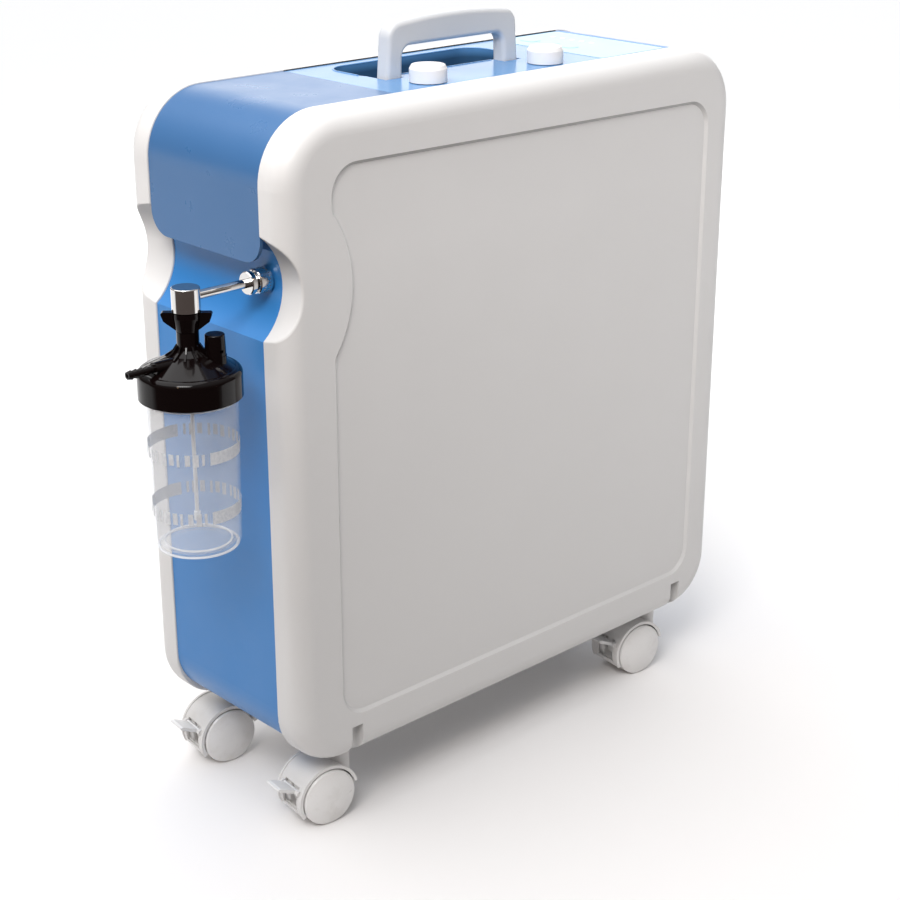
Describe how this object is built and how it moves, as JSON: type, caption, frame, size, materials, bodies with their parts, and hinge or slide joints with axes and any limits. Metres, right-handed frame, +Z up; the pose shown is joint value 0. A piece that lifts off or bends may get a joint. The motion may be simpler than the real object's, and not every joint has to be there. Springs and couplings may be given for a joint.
{
  "type": "oxygen concentrator",
  "caption": "Upright medical oxygen concentrator: white side shells on a blue band, folding carry handle, flow knobs, humidifier bottle on a swivel outlet, twin-wheel castors.",
  "frame": {"origin": "on the floor, under the middle of the whole object's bounding box", "axes": "+Z up, -Y to the front where the humidifier bottle stands out, X across the casing"},
  "size_m": [0.204, 0.627, 0.653],
  "materials": {
    "shell_white": "satin moulded plastic",
    "panel_blue": "satin moulded plastic",
    "hood_blue": "gloss moulded plastic",
    "plate_blue": "gloss moulded plastic",
    "membrane": "printed membrane",
    "handle_grey": "smooth moulded plastic",
    "knob_white": "gloss",
    "grille_grey": "matte",
    "filter_foam": "open foam",
    "zinc_sheet": "galvanised sheet",
    "steel": "plated",
    "brass_valve": "machined",
    "black_plastic": "matte",
    "rocker_plastic": "gloss",
    "chrome_plate": "polished",
    "brass_plain": "machined",
    "cap_black": "gloss",
    "jar_clear": "clear",
    "tube_clear": "clear",
    "rubber_black": "matte",
    "cast_alloy": "cast",
    "column_alloy": "satin",
    "tank_white": "satin",
    "board_green": "satin",
    "muffler_black": "matte",
    "caster_grey": "satin moulded plastic",
    "wheel_grey": "satin moulded plastic",
    "lever_grey": "satin moulded plastic"
  },
  "bodies": {
    "casing": {"left_shell": "shell_white", "right_shell": "shell_white", "front_hood": "hood_blue", "front_panel": "panel_blue", "top_plate": "plate_blue", "control_panel": "membrane", "rear_panel": "panel_blue", "intake_filter": "filter_foam", "chassis": "zinc_sheet", "handle_pins": "steel", "flow_valves": "brass_valve", "switch_frame": "black_plastic", "mains_inlet": "black_plastic", "outlet_stub": "brass_plain", "outlet_tube": "chrome_plate", "outlet_barrel": "chrome_plate", "humidifier_lid": "cap_black", "relief_cap": "cap_black", "dip_tube": "tube_clear", "lid_gasket": "rubber_black", "caster_stems": "steel", "case_screws": "steel", "compressor": "cast_alloy", "compressor_mounts": "rubber_black", "sieve_column_left": "column_alloy", "sieve_column_right": "column_alloy", "product_tank": "tank_white", "valve_block": "cast_alloy", "control_board": "board_green", "fan_frame": "black_plastic", "exhaust_muffler": "muffler_black"},
    "handle": {"carry_handle": "handle_grey"},
    "knob_front": {"front_knob": "knob_white"},
    "knob_rear": {"rear_knob": "knob_white"},
    "rocker": {"power_rocker": "rocker_plastic"},
    "nut": {"union_nut": "chrome_plate"},
    "wing": {"wing_nut": "cap_black"},
    "jar": {"humidifier_jar": "jar_clear"},
    "cover": {"intake_cover": "grille_grey"},
    "fan": {"fan_rotor": "black_plastic"},
    "caster_front_left": {"caster_hood_front_left": "caster_grey", "caster_axle_front_left": "steel"},
    "wheel_front_left_a": {"caster_wheel_front_left_a": "wheel_grey"},
    "wheel_front_left_b": {"caster_wheel_front_left_b": "wheel_grey"},
    "lever_front_left": {"brake_lever_front_left": "lever_grey"},
    "caster_front_right": {"caster_hood_front_right": "caster_grey", "caster_axle_front_right": "steel"},
    "wheel_front_right_a": {"caster_wheel_front_right_a": "wheel_grey"},
    "wheel_front_right_b": {"caster_wheel_front_right_b": "wheel_grey"},
    "lever_front_right": {"brake_lever_front_right": "lever_grey"},
    "caster_rear_left": {"caster_hood_rear_left": "caster_grey", "caster_axle_rear_left": "steel"},
    "wheel_rear_left_a": {"caster_wheel_rear_left_a": "wheel_grey"},
    "wheel_rear_left_b": {"caster_wheel_rear_left_b": "wheel_grey"},
    "lever_rear_left": {"brake_lever_rear_left": "lever_grey"},
    "caster_rear_right": {"caster_hood_rear_right": "caster_grey", "caster_axle_rear_right": "steel"},
    "wheel_rear_right_a": {"caster_wheel_rear_right_a": "wheel_grey"},
    "wheel_rear_right_b": {"caster_wheel_rear_right_b": "wheel_grey"},
    "lever_rear_right": {"brake_lever_rear_right": "lever_grey"}
  },
  "joints": [
    {"name": "handle_fold", "type": "hinge", "parent": "casing", "child": "handle", "pos_m": [0.011, 0.0455, 0.595], "axis": [0, -1, 0], "range_deg": [0, 90]},
    {"name": "front_knob_turn", "type": "hinge", "parent": "casing", "child": "knob_front", "pos_m": [0.048, -0.0115, 0.6], "axis": [0, 0, -1], "range_deg": [0, 270]},
    {"name": "rear_knob_turn", "type": "hinge", "parent": "casing", "child": "knob_rear", "pos_m": [0.048, 0.1225, 0.6], "axis": [0, 0, -1], "range_deg": [0, 270]},
    {"name": "power_rocker_tilt", "type": "hinge", "parent": "casing", "child": "rocker", "pos_m": [-0.026, 0.3059, 0.25], "axis": [1, 0, 0], "range_deg": [-20, 0]},
    {"name": "union_nut_turn", "type": "hinge", "parent": "casing", "child": "nut", "pos_m": [0.052, -0.1915, 0.477], "axis": [0, 1, 0], "continuous": true},
    {"name": "wing_nut_turn", "type": "hinge", "parent": "casing", "child": "wing", "pos_m": [0.052, -0.2585, 0.459], "axis": [0, 0, 1], "continuous": true},
    {"name": "jar_drop", "type": "slide", "parent": "casing", "child": "jar", "axis": [0, 0, -1], "range_m": [0, 0.13]},
    {"name": "intake_cover_pull", "type": "slide", "parent": "casing", "child": "cover", "axis": [0, 1, 0], "range_m": [0, 0.03]},
    {"name": "fan_spin", "type": "hinge", "parent": "casing", "child": "fan", "pos_m": [0, -0.0135, 0.274], "axis": [0, 0, 1], "continuous": true},
    {"name": "caster_swivel_front_left", "type": "hinge", "parent": "casing", "child": "caster_front_left", "pos_m": [-0.07, -0.1415, 0.06], "axis": [0, 0, 1], "continuous": true},
    {"name": "wheel_roll_front_left_a", "type": "hinge", "parent": "caster_front_left", "child": "wheel_front_left_a", "pos_m": [-0.07238, -0.16085, 0.025], "axis": [0.9925, -0.1219, 0], "continuous": true},
    {"name": "wheel_roll_front_left_b", "type": "hinge", "parent": "caster_front_left", "child": "wheel_front_left_b", "pos_m": [-0.07238, -0.16085, 0.025], "axis": [0.9925, -0.1219, 0], "continuous": true},
    {"name": "brake_press_front_left", "type": "hinge", "parent": "caster_front_left", "child": "lever_front_left", "pos_m": [-0.07563, -0.18734, 0.03471], "axis": [0.9925, -0.1219, 0], "range_deg": [0, 30]},
    {"name": "caster_swivel_front_right", "type": "hinge", "parent": "casing", "child": "caster_front_right", "pos_m": [0.07, -0.1415, 0.06], "axis": [0, 0, 1], "continuous": true},
    {"name": "wheel_roll_front_right_a", "type": "hinge", "parent": "caster_front_right", "child": "wheel_front_right_a", "pos_m": [0.06762, -0.16085, 0.025], "axis": [0.9925, -0.1219, 0], "continuous": true},
    {"name": "wheel_roll_front_right_b", "type": "hinge", "parent": "caster_front_right", "child": "wheel_front_right_b", "pos_m": [0.06762, -0.16085, 0.025], "axis": [0.9925, -0.1219, 0], "continuous": true},
    {"name": "brake_press_front_right", "type": "hinge", "parent": "caster_front_right", "child": "lever_front_right", "pos_m": [0.06437, -0.18734, 0.03471], "axis": [0.9925, -0.1219, 0], "range_deg": [0, 30]},
    {"name": "caster_swivel_rear_left", "type": "hinge", "parent": "casing", "child": "caster_rear_left", "pos_m": [-0.07, 0.2535, 0.06], "axis": [0, 0, 1], "continuous": true},
    {"name": "wheel_roll_rear_left_a", "type": "hinge", "parent": "caster_rear_left", "child": "wheel_rear_left_a", "pos_m": [-0.07238, 0.23414, 0.025], "axis": [0.9925, -0.1219, 0], "continuous": true},
    {"name": "wheel_roll_rear_left_b", "type": "hinge", "parent": "caster_rear_left", "child": "wheel_rear_left_b", "pos_m": [-0.07238, 0.23414, 0.025], "axis": [0.9925, -0.1219, 0], "continuous": true},
    {"name": "brake_press_rear_left", "type": "hinge", "parent": "caster_rear_left", "child": "lever_rear_left", "pos_m": [-0.07563, 0.20766, 0.03471], "axis": [0.9925, -0.1219, 0], "range_deg": [0, 30]},
    {"name": "caster_swivel_rear_right", "type": "hinge", "parent": "casing", "child": "caster_rear_right", "pos_m": [0.07, 0.2535, 0.06], "axis": [0, 0, 1], "continuous": true},
    {"name": "wheel_roll_rear_right_a", "type": "hinge", "parent": "caster_rear_right", "child": "wheel_rear_right_a", "pos_m": [0.06762, 0.23414, 0.025], "axis": [0.9925, -0.1219, 0], "continuous": true},
    {"name": "wheel_roll_rear_right_b", "type": "hinge", "parent": "caster_rear_right", "child": "wheel_rear_right_b", "pos_m": [0.06762, 0.23414, 0.025], "axis": [0.9925, -0.1219, 0], "continuous": true},
    {"name": "brake_press_rear_right", "type": "hinge", "parent": "caster_rear_right", "child": "lever_rear_right", "pos_m": [0.06437, 0.20766, 0.03471], "axis": [0.9925, -0.1219, 0], "range_deg": [0, 30]}
  ]
}
